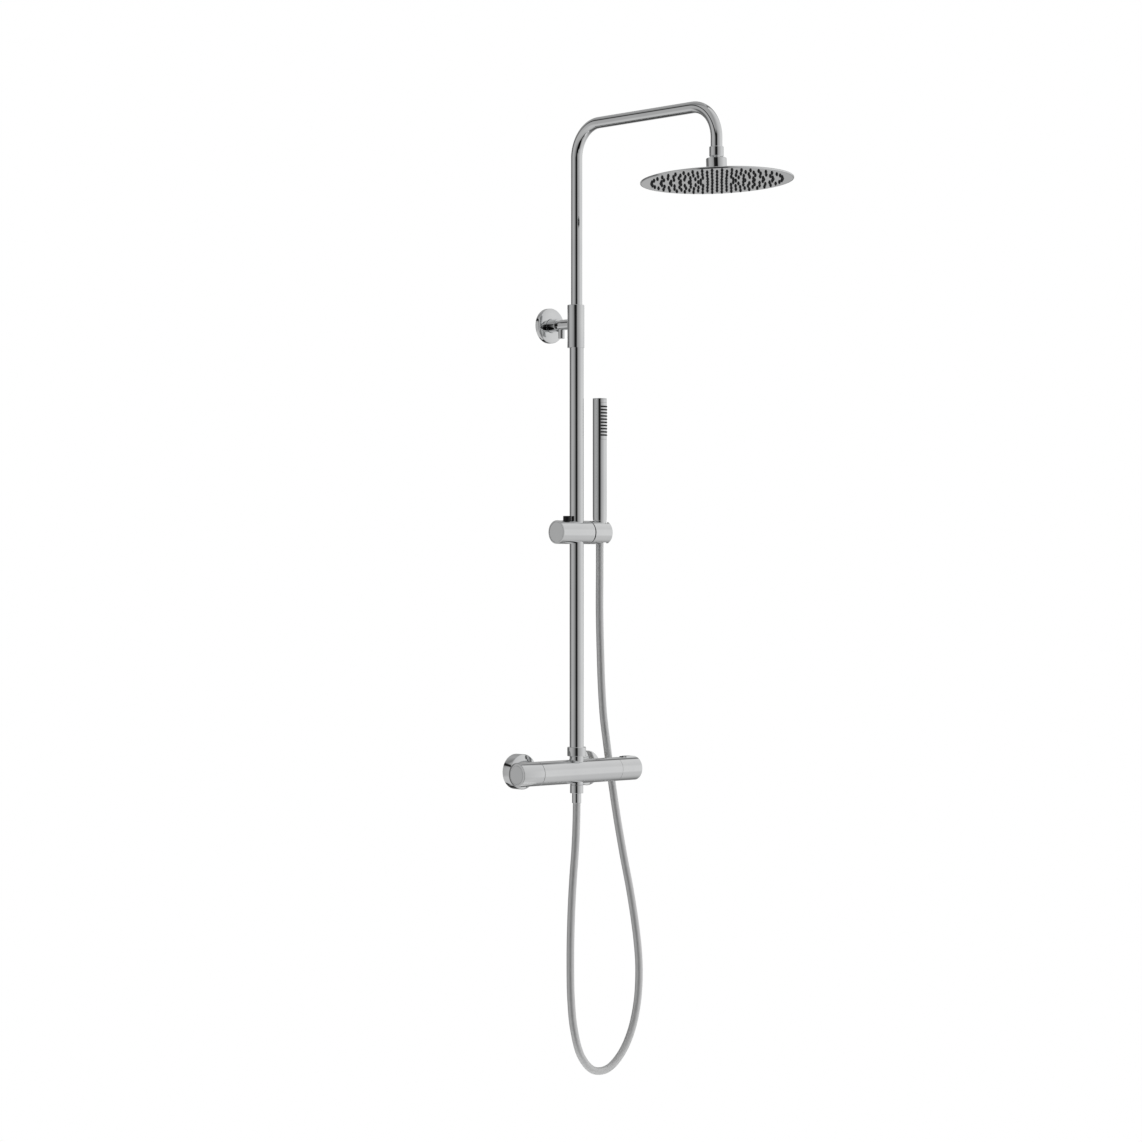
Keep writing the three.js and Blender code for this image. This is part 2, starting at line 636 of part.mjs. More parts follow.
// The hose, hanging free between the valve's outlet and the hand shower.
function buildHose(parent) {
  const points = HOSE_ROUTE.map((p) => new THREE.Vector3(...p));
  const route = new THREE.CatmullRomCurve3(points, false, "centripetal");
  const stations = route.getSpacedPoints(HOSE_STEPS).map((point, i) => ({
    point,
    tangent: route.getTangentAt(i / HOSE_STEPS),
  }));
  piece(parent, "shower_hose", "hose", swept(stations, HOSE_R, 0, HOSE_SIDES));
}

export default column;
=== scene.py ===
"""Looks of a wall-hung thermostatic shower column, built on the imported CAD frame.

Metres, +Z up, +Y into the wall. Profiles and routes are written in millimetres.
"""

import json
import math

import bmesh
import bpy
from mathutils import Matrix, Vector


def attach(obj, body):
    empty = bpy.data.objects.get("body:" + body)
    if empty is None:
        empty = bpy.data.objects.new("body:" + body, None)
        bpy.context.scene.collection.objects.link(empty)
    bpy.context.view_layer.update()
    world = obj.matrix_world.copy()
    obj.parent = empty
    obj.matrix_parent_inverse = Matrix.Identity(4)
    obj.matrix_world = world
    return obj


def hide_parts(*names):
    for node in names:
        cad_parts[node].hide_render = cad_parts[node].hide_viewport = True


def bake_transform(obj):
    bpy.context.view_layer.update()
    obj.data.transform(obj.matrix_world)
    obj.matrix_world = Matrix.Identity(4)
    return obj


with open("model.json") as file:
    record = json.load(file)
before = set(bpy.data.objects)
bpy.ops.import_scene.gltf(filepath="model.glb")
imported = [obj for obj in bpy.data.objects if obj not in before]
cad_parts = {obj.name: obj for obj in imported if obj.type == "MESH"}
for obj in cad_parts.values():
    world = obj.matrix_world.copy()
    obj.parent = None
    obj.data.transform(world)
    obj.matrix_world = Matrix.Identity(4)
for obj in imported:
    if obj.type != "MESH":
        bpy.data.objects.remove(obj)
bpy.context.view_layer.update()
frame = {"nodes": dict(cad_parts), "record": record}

MM = 0.001
ROUND = 96  # sides of a round piece
CREASE = math.radians(28)  # faces that meet at more than this show an edge
AXIS_OUT = 72  # wall face to the axis of bar, riser and slider
BAR_R = 20.5
BAR_HALF = 90.3
BORE_R = 15.3
INLET_X = 75  # from the middle to either inlet
HANDLE = 46.2  # length of a handle
BUTTON_IN = 14.7  # from the inner end of the temperature handle to its stop button
SLIDER_HEIGHT = 408
BRACKET_HEIGHT = 764
HANDSET_X = 54
ARM_HEIGHT = 1101
ARM_REACH = 334.5
ARM_BEND = 55
BALL_HEIGHT = 1001
HEAD_FACE = -26.5  # underside of the head, from the ball's centre
HEAD_LEAN = 2.8  # degrees, towards the room
NOZZLE_TURN = math.radians(-45.4)  # direction in which the first nozzle of every ring lies
NOZZLE_RINGS = 7
NOZZLE_PITCH = 15.2  # from one ring of nozzles to the next
SPRAY_ROWS = [167.3 + 5.45 * i for i in range(10)]  # heights of the hand shower's nozzles
HOSE_R = 6.5
HOSE_SIDES = 32
BEHIND_BAR = -60  # heights at which the hose is divided
BELOW_SLIDER = 190
NECK = 306
LOWER_TUBE_R = 12
UPPER_TUBE_R = 9.5
SLEEVE_R = 14.45
SLEEVE_BOTTOM = 723
SLEEVE_TOP = 796
SLEEVE_SET_BACK = 2
SLIDER_R = 20
SLIDER_LEFT = -47
SLIDER_SEAM = 26.5
SLIDER_RIGHT = 66.6
HANDSET_R = 12
HANDSET_TOP = 230.6

# ---- Camera: level, in front of the column and to its left
CAMERA_AT = (-3.4381, -3.7913, 0.342)
CAMERA_LOOKS = (0.6774, 0.7356, 0.0)
CAMERA_RIGHT = (0.7356, -0.6774, 0.0)
LENS = 93.56

camera_data = bpy.data.cameras.new("camera")
camera_data.lens = LENS
camera_data.sensor_width = 36
camera_data.clip_end = 100
camera = bpy.data.objects.new("camera", camera_data)
camera.location = CAMERA_AT
camera.rotation_euler = Vector(CAMERA_LOOKS).to_track_quat("-Z", "Y").to_euler()
bpy.context.scene.collection.objects.link(camera)
bpy.context.scene.camera = camera


# ---- Shader helpers
def linear(hex_colour):
    """An sRGB hex colour as linear RGBA."""
    channels = [int(hex_colour[i : i + 2], 16) / 255 for i in (1, 3, 5)]
    return tuple(
        c / 12.92 if c <= 0.04045 else ((c + 0.055) / 1.055) ** 2.4 for c in channels
    ) + (1,)


def add(tree, kind, inputs=None, **settings):
    """A new node; an input is a value or another node's output socket."""
    node = tree.nodes.new(kind)
    for name, value in settings.items():
        setattr(node, name, value)
    for name, value in (inputs or {}).items():
        if isinstance(value, bpy.types.NodeSocket):
            tree.links.new(value, node.inputs[name])
        else:
            node.inputs[name].default_value = value
    return node


def ramp(tree, factor, stops):
    """A colour ramp through (position, colour) stops."""
    node = add(tree, "ShaderNodeValToRGB", {"Fac": factor})
    elements = node.color_ramp.elements
    while len(elements) < len(stops):
        elements.new(0.5)
    for element, (position, colour) in zip(elements, stops):
        element.position = position
        element.color = colour
    return node.outputs["Color"]


def grey(level):
    """A neutral colour from an sRGB level of 0 to 255."""
    return linear("#" + f"{level:02x}" * 3)


def maths(tree, operation, first, second=0.0):
    return add(tree, "ShaderNodeMath", {0: first, 1: second}, operation=operation).outputs[0]


def scaled(tree, vector, factors):
    """A vector with each of its parts multiplied by a factor."""
    inputs = {0: vector, 1: factors}
    return add(tree, "ShaderNodeVectorMath", inputs, operation="MULTIPLY").outputs[0]


def mixed(tree, first, share, second, other_share):
    """A weighted sum of two values."""
    first_part = maths(tree, "MULTIPLY", first, share)
    second_part = maths(tree, "MULTIPLY", second, other_share)
    return maths(tree, "ADD", first_part, second_part)


def remap(tree, value, low, high, to_low, to_high):
    """A value taken from one range to another and held within the second."""
    return add(tree, "ShaderNodeMapRange", {
        "Value": value, "From Min": low, "From Max": high, "To Min": to_low, "To Max": to_high,
    }).outputs["Result"]


def new_material(name):
    material = bpy.data.materials.new(name)
    material.use_nodes = True
    material.node_tree.nodes.clear()
    return material, material.node_tree


def place_mm(tree):
    """Coordinates fixed to the piece, in millimetres."""
    coords = add(tree, "ShaderNodeTexCoord").outputs["Object"]
    return scaled(tree, coords, (1000, 1000, 1000))


def noise(tree, vector, per_mm, detail=2.0):
    inputs = {"Vector": vector, "Scale": per_mm, "Detail": detail, "Roughness": 0.5}
    return add(tree, "ShaderNodeTexNoise", inputs).outputs["Fac"]


def surface(tree, inputs, height=None, bump_mm=0.01):
    """The shader and its output, with an optional bump."""
    if height is not None:
        relief = {"Height": height, "Strength": 1.0, "Distance": bump_mm * MM}
        inputs["Normal"] = add(tree, "ShaderNodeBump", relief).outputs["Normal"]
    shader = add(tree, "ShaderNodeBsdfPrincipled", inputs)
    add(tree, "ShaderNodeOutputMaterial", {"Surface": shader.outputs["BSDF"]})


def metal(name, dark, light, smooth, rough, blotch_mm, grain_mm, bump_mm, stretch=(1, 1, 1)):
    """Metal whose tone and polish drift over blotches, with a fine grain in its surface."""
    material, tree = new_material(name)
    where = place_mm(tree)
    blotches = noise(tree, where, 1 / blotch_mm, 3)
    grain = noise(tree, scaled(tree, where, stretch), 1 / grain_mm, 2)
    polish = mixed(tree, blotches, 0.6, grain, 0.4)
    surface(tree, {
        "Base Color": ramp(tree, blotches, [(0.3, linear(dark)), (0.7, linear(light))]),
        "Roughness": remap(tree, polish, 0.3, 0.7, smooth, rough),
        "Metallic": 1.0,
    }, grain, bump_mm)
    return material


def moulded(name, dark, light, smooth, rough, grain_mm, bump_mm):
    """Moulded plastic, silicone or rubber with a fine grain."""
    material, tree = new_material(name)
    where = place_mm(tree)
    grain = noise(tree, where, 1 / grain_mm, 3)
    clouds = noise(tree, where, 1 / 14, 2)
    surface(tree, {
        "Base Color": ramp(tree, clouds, [(0.3, linear(dark)), (0.7, linear(light))]),
        "Roughness": remap(tree, grain, 0.35, 0.65, smooth, rough),
        "Metallic": 0.0,
    }, grain, bump_mm)
    return material


TURNS_PER_METRE = 400.0  # of the winding under the hose's cover


def hose_material():
    """Satin silver cover: a foil under clear plastic, with a faint winding."""
    material, tree = new_material("hose_cover")
    uv = add(tree, "ShaderNodeTexCoord").outputs["UV"]
    parts = add(tree, "ShaderNodeSeparateXYZ", {"Vector": uv})
    along = maths(tree, "MULTIPLY", parts.outputs["Y"], TURNS_PER_METRE)
    winding = maths(tree, "PINGPONG", maths(tree, "ADD", along, parts.outputs["X"]), 0.5)
    haze = noise(tree, place_mm(tree), 1 / 9, 3)
    tone = mixed(tree, haze, 0.7, winding, 0.6)
    surface(tree, {
        "Base Color": ramp(tree, tone, [(0.3, linear("#f3f4f4")), (0.75, linear("#fafafa"))]),
        "Roughness": remap(tree, haze, 0.3, 0.7, 0.38, 0.45),
        "Metallic": 0.55,
        "Coat Weight": 0.25,
        "Coat Roughness": 0.2,
    }, winding, 0.02)
    return material


CHROME = metal("chrome", "#f1f2f3", "#f7f8f8", 0.015, 0.05, 60, 0.8, 0.0006)
STEEL = metal("brushed_steel", "#b4b6b8", "#cfd1d2", 0.22, 0.38, 12, 0.5, 0.004, (1, 1, 8))
BRASS = metal("machined_brass", "#a98746", "#c9a75e", 0.25, 0.42, 9, 0.6, 0.006, (6, 1, 1))
BLACK = moulded("black_plastic", "#0d0d0e", "#161617", 0.32, 0.48, 0.6, 0.01)
GREY = moulded("grey_plastic", "#b3b6b8", "#c4c6c8", 0.42, 0.58, 0.7, 0.012)
SILICONE = moulded("silicone", "#232427", "#303236", 0.4, 0.55, 0.5, 0.01)
RUBBER = moulded("seal_rubber", "#161616", "#202020", 0.6, 0.8, 0.5, 0.015)
HOSE = hose_material()
SLOT_MATERIAL = {
    "chrome": CHROME, "steel": STEEL, "brass": BRASS, "black_plastic": BLACK,
    "grey_plastic": GREY, "silicone": SILICONE, "seal_rubber": RUBBER, "hose_cover": HOSE,
}
SLOT_OF = {part["node"]: part["material_slot"] for part in frame["record"]["subparts"]}
BODY_OF = {
    node: body for body, nodes in frame["record"]["behaviour"]["bodies"].items() for node in nodes
}


# ---- Mesh helpers
def linked(name, mesh):
    """A new object with this mesh, in the scene."""
    piece = bpy.data.objects.new(name, mesh)
    bpy.context.scene.collection.objects.link(piece)
    return piece


def mesh_object(name, vertices, faces):
    """A closed mesh from points in millimetres, with its faces turned outwards."""
    mesh = bpy.data.meshes.new(name)
    mesh.from_pydata([Vector(v) * MM for v in vertices], [], faces)
    shape = bmesh.new()
    shape.from_mesh(mesh)
    bmesh.ops.remove_doubles(shape, verts=shape.verts, dist=1e-7)
    bmesh.ops.recalc_face_normals(shape, faces=shape.faces)
    shape.to_mesh(mesh)
    shape.free()
    return linked(name, mesh)


# A profile's axis points along z; this turns it onto another axis.
TURN = {
    "z": lambda x, y, z: (x, y, z),
    "x": lambda x, y, z: (z, y, -x),
    "-x": lambda x, y, z: (-z, y, x),
    "y": lambda x, y, z: (x, z, -y),
}


def turned(profile, axis="z", at=(0, 0, 0), sides=ROUND):
    """A solid of revolution from (radius, height) points, turned onto an axis and moved.

    A profile that starts off the axis is closed on itself, so it makes a ring."""
    ring = profile[0][0] > 0
    vertices, faces = [], []
    for r, h in profile:
        for i in range(sides):
            angle = 2 * math.pi * i / sides
            x, y, z = TURN[axis](r * math.cos(angle), r * math.sin(angle), h)
            vertices.append((x + at[0], y + at[1], z + at[2]))
    for j in range(len(profile) if ring else len(profile) - 1):
        k = (j + 1) % len(profile)
        for i in range(sides):
            n = (i + 1) % sides
            faces.append((j * sides + i, j * sides + n, k * sides + n, k * sides + i))
    return mesh_object("turned", vertices, faces)


def rod(r, low, high, axis="z", at=(0, 0, 0)):
    return turned([(0, low), (r, low), (r, high), (0, high)], axis, at)


def block(low, high, at):
    """A box between two opposite corners, moved."""
    corners = [
        (x + at[0], y + at[1], z + at[2])
        for x in (low[0], high[0])
        for y in (low[1], high[1])
        for z in (low[2], high[2])
    ]
    return mesh_object("block", corners, [
        (0, 1, 3, 2), (4, 6, 7, 5), (0, 4, 5, 1), (2, 3, 7, 6), (0, 2, 6, 4), (1, 5, 7, 3),
    ])


def joined(name, pieces):
    """Several meshes as one object."""
    shape = bmesh.new()
    for piece in pieces:
        shape.from_mesh(piece.data)
        bpy.data.objects.remove(piece)
    mesh = bpy.data.meshes.new(name)
    shape.to_mesh(mesh)
    shape.free()
    return linked(name, mesh)


def carved(piece, tools, operation="DIFFERENCE"):
    """The piece with each tool cut away, joined on, or kept in common."""
    for tool in tools:
        step = piece.modifiers.new("carve", "BOOLEAN")
        step.operation = operation
        step.object = tool
        step.solver = "EXACT"
    graph = bpy.context.evaluated_depsgraph_get()
    graph.update()
    result = bpy.data.meshes.new_from_object(piece.evaluated_get(graph))
    piece.modifiers.clear()
    piece.data = result
    for tool in tools:
        bpy.data.objects.remove(tool)
    return piece


def shaded(piece, edge_mm):
    """Smooth shading, with small rounded edges, or crisp ones where edge_mm is 0."""
    for polygon in piece.data.polygons:
        polygon.use_smooth = True
    if edge_mm:
        bevel = piece.modifiers.new("edges", "BEVEL")
        bevel.width = edge_mm * MM
        bevel.segments = 2
        bevel.limit_method = "ANGLE"
        bevel.angle_limit = CREASE
        bevel.harden_normals = True
    else:
        piece.data.set_sharp_from_angle(angle=CREASE)
        weighted = piece.modifiers.new("even_shading", "WEIGHTED_NORMAL")
        weighted.keep_sharp = True
    return piece


def stands_for(piece, node, edge_mm):
    """Names a piece after the CAD node it replaces, and gives it that node's finish and body."""
    piece.name = node + "_detail"
    piece.data.name = piece.name
    shaded(piece, edge_mm)
    slot = SLOT_OF[node]
    piece.data.materials.clear()
    piece.data.materials.append(SLOT_MATERIAL[slot])
    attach(piece, BODY_OF[node])
    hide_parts(node)


def arc(r, centre, start, end, steps):
    """Profile points along a circle, in degrees."""
    angles = [math.radians(start + (end - start) * i / steps) for i in range(steps + 1)]
    return [(r * math.cos(a), centre + r * math.sin(a)) for a in angles]


def swept(centres, r, sides, name, metres_before=0.0):
    """A closed round tube along a path, with the metres along it as its V coordinate."""
    points = [Vector(p) for p in centres]
    count = len(points)
    tangents = [
        (points[min(i + 1, count - 1)] - points[max(i - 1, 0)]).normalized()
        for i in range(count)
    ]
    side = tangents[0].orthogonal().normalized()
    vertices, lengths, travelled = [], [], metres_before
    for i, point in enumerate(points):
        if i:
            side = (side - tangents[i] * side.dot(tangents[i])).normalized()
            travelled += (point - points[i - 1]).length * MM
        lengths.append(travelled)
        up = tangents[i].cross(side)
        for k in range(sides):
            angle = 2 * math.pi * k / sides
            vertices.append(point + side * (r * math.cos(angle)) + up * (r * math.sin(angle)))
    faces, coordinates = [], []
    for i in range(count - 1):
        for k in range(sides):
            n = (k + 1) % sides
            faces.append((i * sides + k, i * sides + n, (i + 1) * sides + n, (i + 1) * sides + k))
            left, right = k / sides, (k + 1) / sides
            before, beyond = lengths[i], lengths[i + 1]
            coordinates += [(left, before), (right, before), (right, beyond), (left, beyond)]
    for ring in (0, count - 1):
        order = range(sides) if ring else range(sides - 1, -1, -1)
        faces.append(tuple(ring * sides + k for k in order))
        coordinates += [(k / sides, lengths[ring]) for k in order]
    mesh = bpy.data.meshes.new(name)
    mesh.from_pydata([v * MM for v in vertices], [], faces)
    layer = mesh.uv_layers.new(name="length")
    for loop, coordinate in zip(layer.data, coordinates):
        loop.uv = coordinate
    return linked(name, mesh)


# ---- The hose, in five lengths
HOSE_ROUTE = [
    (0, -72, -54.3), (-0.3, -72, -75), (-1.5, -72, -105), (-3.8, -72, -138), (-8, -72, -180),
    (-11.5, -72, -225), (-13.8, -72, -275), (-14.6, -72, -325), (-13.6, -72.5, -385),
    (-7.5, -73.5, -440), (8, -75, -487), (34, -77, -513), (66, -78.5, -514), (97, -79.5, -492),
    (121, -80, -455), (136, -80, -405), (142.5, -77.5, -350), (141.5, -74, -300),
    (135, -65, -222), (127, -54, -150), (120, -46, -88), (114, -41.5, -38), (107.5, -40, 4),
    (98, -42.5, 45), (86, -47.5, 90), (74, -55.5, 142), (62.5, -64.5, 207), (55.5, -70, 275),
    (54.2, -71.7, 335), (54, -72, 364), (54, -72, 391.4),
]
STEPS_BETWEEN = 12


def smooth_route(points):
    """A centripetal Catmull-Rom curve through the points."""
    knots = [Vector(p) for p in points]
    padded = [knots[0] * 2 - knots[1], *knots, knots[-1] * 2 - knots[-2]]
    route = [knots[0]]
    for p0, p1, p2, p3 in zip(padded, padded[1:], padded[2:], padded[3:]):
        t1 = (p1 - p0).length ** 0.5
        t2 = t1 + (p2 - p1).length ** 0.5
        t3 = t2 + (p3 - p2).length ** 0.5
        for i in range(1, STEPS_BETWEEN + 1):
            t = t1 + (t2 - t1) * i / STEPS_BETWEEN
            a1 = p0.lerp(p1, t / t1)
            a2 = p1.lerp(p2, (t - t1) / (t2 - t1))
            a3 = p2.lerp(p3, (t - t2) / (t3 - t2))
            b1 = a1.lerp(a2, t / t2)
            b2 = a2.lerp(a3, (t - t1) / (t3 - t1))
            route.append(b1.lerp(b2, (t - t1) / (t2 - t1)))
    return route


def hose():
    route = smooth_route(HOSE_ROUTE)
    lowest = min(range(len(route)), key=lambda i: route[i].z)

    def after(height):
        """The first point of the rising part at this height."""
        return next(i for i in range(lowest, len(route)) if route[i].z >= height - 0.01)

    cuts = [0, lowest, after(BEHIND_BAR), after(BELOW_SLIDER), after(NECK), len(route) - 1]
    foot, bottom, behind, top, neck, end = (route[i].z * MM for i in cuts)
    # Each length lists the bodies at its ends and two heights, set as if the bottom of the loop
    # moved half as far as the slider, so that what the upper part gains the loop gives up, and the
    # hose behind the bar stayed in its place. The loop below uses only the names and attaches none.
    spans = [
        ("hose_left", "column", "slider", foot, 2 * bottom - foot),
        ("hose_right", "column", "slider", behind, 2 * bottom - behind),
        ("hose_middle", "column", "slider", behind, top),
        ("hose_top", "slider", "cradle", top, neck),
        ("hose_end", "cradle", "hand_shower", neck, end),
    ]
    travelled = 0.0
    for (name, first, second, start, end), begin, finish in zip(spans, cuts, cuts[1:]):
        part = route[begin : finish + 1]
        piece = swept(part, HOSE_R, HOSE_SIDES, name, travelled)
        length = sum((b - a).length for a, b in zip(part, part[1:])) * MM
        travelled += length
        piece.data.shade_smooth()
        piece.data.set_sharp_from_angle(angle=CREASE)
        piece.data.materials.append(HOSE)
        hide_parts("shower_hose")
        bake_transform(piece)


# ---- The bar valve
def on_axis(x=0, z=0):
    """A point in the upright plane of the valve, the riser and the slider."""
    return (x, -AXIS_OUT, z)


def valve():
    deep = 40  # the bores end this far from the middle
    bar = turned([
        (0, -deep), (BORE_R, -deep), (BORE_R, -BAR_HALF), (BAR_R, -BAR_HALF),
        (BAR_R, BAR_HALF), (BORE_R, BAR_HALF), (BORE_R, deep), (0, deep),
    ], "x", on_axis())
    boss = turned([
        (0, 6), (12, 6), (12, 26.1), (13.9, 26.1), (13.9, 34), (0, 34),
    ], "z", on_axis())
    stub = turned([
        (0, -33), (9.2, -33), (9.2, -22.7), (11.2, -22.7), (11.2, -6), (0, -6),
    ], "z", on_axis())
    spigot = [(0, 16), (10.8, 16), (10.8, 28.8), (12.8, 28.8), (12.8, 31), (0, 31)]
    inlets = [turned(spigot, "y", on_axis(x)) for x in (-INLET_X, INLET_X)]
    stands_for(joined("valve", [bar, boss, stub, *inlets]), "valve_body", 0.25)
    stands_for(turned([
        (9.6, -23), (10.9, -23), (11.25, -23.4), (11.25, -36.6), (10.9, -37), (6.9, -37),
        (6.9, -36.1), (9.6, -36.1),
    ], "z", on_axis()), "hose_nut", 0.2)
    stands_for(turned([
        (3.5, -35), (9.2, -35), (9.2, -35.8), (6.5, -35.8), (6.5, -37.3), (7.75, -37.3),
        (7.75, -53.4), (7.3, -54), (3.5, -54),
    ], "z", on_axis()), "hose_ferrule_lower", 0.15)
    for side, at in (("left", on_axis(-INLET_X)), ("right", on_axis(INLET_X))):
        nut = turned([(0, 22.3), (17.3, 22.3), (17.3, 42), (0, 42)], "y", at, 6)
        chamfer = turned([
            (0, 22.3), (15.4, 22.3), (17.3, 23.6), (17.3, 40.7), (15.4, 42), (0, 42),
        ], "y", at)
        carved(nut, [chamfer], "INTERSECT")
        carved(nut, [rod(11.2, 20, 30, "y", at), rod(13.2, 28.4, 44, "y", at)])
        stands_for(nut, "inlet_nut_" + side, 0)
        stands_for(turned([
            (16, 52), (28.4, 52), (29.6, 52.5), (30.1, 53.7), (30.1, AXIS_OUT), (28.1, AXIS_OUT),
            (28.1, 54), (16, 54),
        ], "y", at), "inlet_rosette_" + side, 0.3)


def handle_shell(axis, at, start=0.0):
    return turned([
        (17.5, start), (BAR_R, start), (BAR_R, HANDLE - 1.5), (BAR_R - 0.45, HANDLE - 0.45),
        (BAR_R - 1.5, HANDLE), (15.3, HANDLE), (15.3, HANDLE - 1.8), (2.6, HANDLE - 1.8),
        (2.6, HANDLE - 5.5), (17.5, HANDLE - 5.5),
    ], axis, at)


def handle_cap(axis, at):
    return rod(15.15, HANDLE - 1.5, HANDLE, axis, at)


def grip_lobe(at):
    """The low rounded grip on top of the temperature handle."""

    def corner(a, b, c):
        """Points along the curve from a to c that b pulls towards itself."""
        return [
            tuple((1 - t) ** 2 * p + 2 * t * (1 - t) * q + t * t * r for p, q, r in zip(a, b, c))
            for t in (0.2, 0.4, 0.6, 0.8, 1)
        ]

    outline = [
        (20.5, 18), (21, 20.7), *corner((21.3, 21.2), (22, 22), (24, 22)), (31, 21.8),
        (38, 21.6), *corner((38, 21.6), (43, 21.2), (45, 19)), (45, 18),
    ]
    count = len(outline)
    vertices = [(x + at[0], y + at[1], z + at[2]) for y in (-6, 6) for x, z in outline]
    faces = [tuple(range(count)), tuple(range(2 * count - 1, count - 1, -1))]
    faces += [(i, (i + 1) % count, (i + 1) % count + count, i + count) for i in range(count)]
    return mesh_object("grip", vertices, faces)


def handles():
    left = on_axis(-BAR_HALF - 0.5)
    right = on_axis(BAR_HALF + 0.5)
    button = on_axis(right[0] + BUTTON_IN)
    stands_for(handle_shell("-x", left), "flow_handle", 0.3)
    stands_for(handle_cap("-x", left), "flow_handle_cap", 0.1)
    shell = carved(handle_shell("x", right, -0.35), [grip_lobe(right)], "UNION")
    stands_for(carved(shell, [rod(4, 12, 30, "z", button)]), "temperature_handle", 0)
    stands_for(handle_cap("x", right), "temperature_handle_cap", 0.1)
    stands_for(turned([
        (0, 13.9), (4.6, 13.9), (4.6, 15.2), (3.6, 15.2), (3.6, 21), (3.4, 21.4), (3, 21.6),
        (2.4, 21.5), (0, 21.3),
    ], "z", button, 48), "stop_button", 0)


# ---- Riser, bracket and arm
def riser():
    stands_for(turned([
        (14.3, 26.3), (15.4, 26.3), (16, 26.9), (16, 41.2), (15.4, 41.8), (12.3, 41.8), (12.3, 38),
        (14.3, 38),
    ], "z", on_axis()), "riser_nut", 0.2)
    stands_for(turned([
        (10.8, 34.3), (13.9, 34.3), (13.9, 37.6), (LOWER_TUBE_R, 37.6), (LOWER_TUBE_R, 722.7),
        (10.8, 722.7),
    ], "z", on_axis()), "lower_riser_tube", 0.15)


def bracket():
    at = on_axis(0, BRACKET_HEIGHT)
    back = (0, SLEEVE_SET_BACK - AXIS_OUT, BRACKET_HEIGHT)
    bottom, top = SLEEVE_BOTTOM - BRACKET_HEIGHT, SLEEVE_TOP - BRACKET_HEIGHT
    face, pin = 45, 38.3  # from the riser's axis to the post's face and to the pin
    on_pin = (0, pin - AXIS_OUT, BRACKET_HEIGHT)
    barrel = turned([
        (0, bottom), (SLEEVE_R, bottom), (SLEEVE_R, top - 0.8), (SLEEVE_R - 0.25, top - 0.25),
        (SLEEVE_R - 0.8, top), (0, top),
    ], "z", back)
    link = turned([
        (0, 8), (8.9, 8), (8.9, face - 1.1), (8.6, face - 0.5), (8, face - 0.3), (0, face - 0.3),
    ], "y", at)
    body = carved(barrel, [rod(10.5, bottom - 25, bottom + 5, "z", at), link], "UNION")
    carved(body, [
        rod(9.8, bottom - 30, top + 5, "z", at),
        block((-9.5, pin - 7.3, -2.8), (9.5, face + 5, 2.8), at),
        rod(5.8, -12, 5.6, "z", on_pin),
        rod(2.3, 5, 20, "x", on_axis(0, SLEEVE_BOTTOM + 12)),
    ])
    stands_for(body, "bracket_sleeve", 0)
    stands_for(rod(5.5, -23.2, 5.2, "z", on_pin), "bracket_pin", 0.5)
    post = turned([
        (0, face), (10.7, face), (11.3, face + 0.3), (11.5, face + 0.9), (11.5, 67.7),
        (5.3, 67.7), (5.3, 55), (0, 55),
    ], "y", at)
    tongue = block((-7, pin - 6.9, -2.5), (7, face + 2, 2.5), at)
    carved(post, [tongue], "UNION")
    carved(post, [rod(5.8, -5, 5, "z", on_pin)])
    stands_for(post, "bracket_post", 0)
    stands_for(turned([
        (11.9, 64), (28.7, 64), (29.6, 64.4), (30, 65.3), (30, AXIS_OUT), (28.3, AXIS_OUT),
        (28.3, 65.5), (11.9, 65.5),
    ], "y", at), "bracket_rosette", 0.3)


def bend(centre_out, start):
    """The centres of the arm through a quarter turn that starts at an angle."""
    steps = 24
    angles = [math.radians(start + 90 * i / steps) for i in range(steps + 1)]
    return [
        (0, centre_out + ARM_BEND * math.cos(a), ARM_HEIGHT - ARM_BEND + ARM_BEND * math.sin(a))
        for a in angles
    ]


def arm():
    end = (0, -AXIS_OUT - ARM_REACH, 0)
    route = [
        *((0, -AXIS_OUT, z) for z in (600, 720, 850, 980)),
        *bend(-AXIS_OUT - ARM_BEND, 0),
        *((0, -AXIS_OUT - out, ARM_HEIGHT) for out in (120, 190)),
        *bend(-AXIS_OUT - ARM_REACH + ARM_BEND, 90),
        (end[0], end[1], 1020.6),
    ]
    stands_for(swept(route, UPPER_TUBE_R, ROUND, "arm"), "shower_arm", 0)
    stands_for(turned([
        (6.3, 1014.3), (10.3, 1014.3), (11.75, 1015.8), (11.75, 1030.2), (11.2, 1031),
        (9.8, 1031), (9.8, 1020.8), (6.3, 1020.8),
    ], "z", end), "arm_collar", 0.15)
    stands_for(turned([
        (3.5, 1019.9), (3.5, BALL_HEIGHT - 8.6), *arc(9.3, BALL_HEIGHT, -66, 49, 24),
        (6, 1008.3), (6, 1019.9),
    ], "z", end), "swivel_ball", 0)


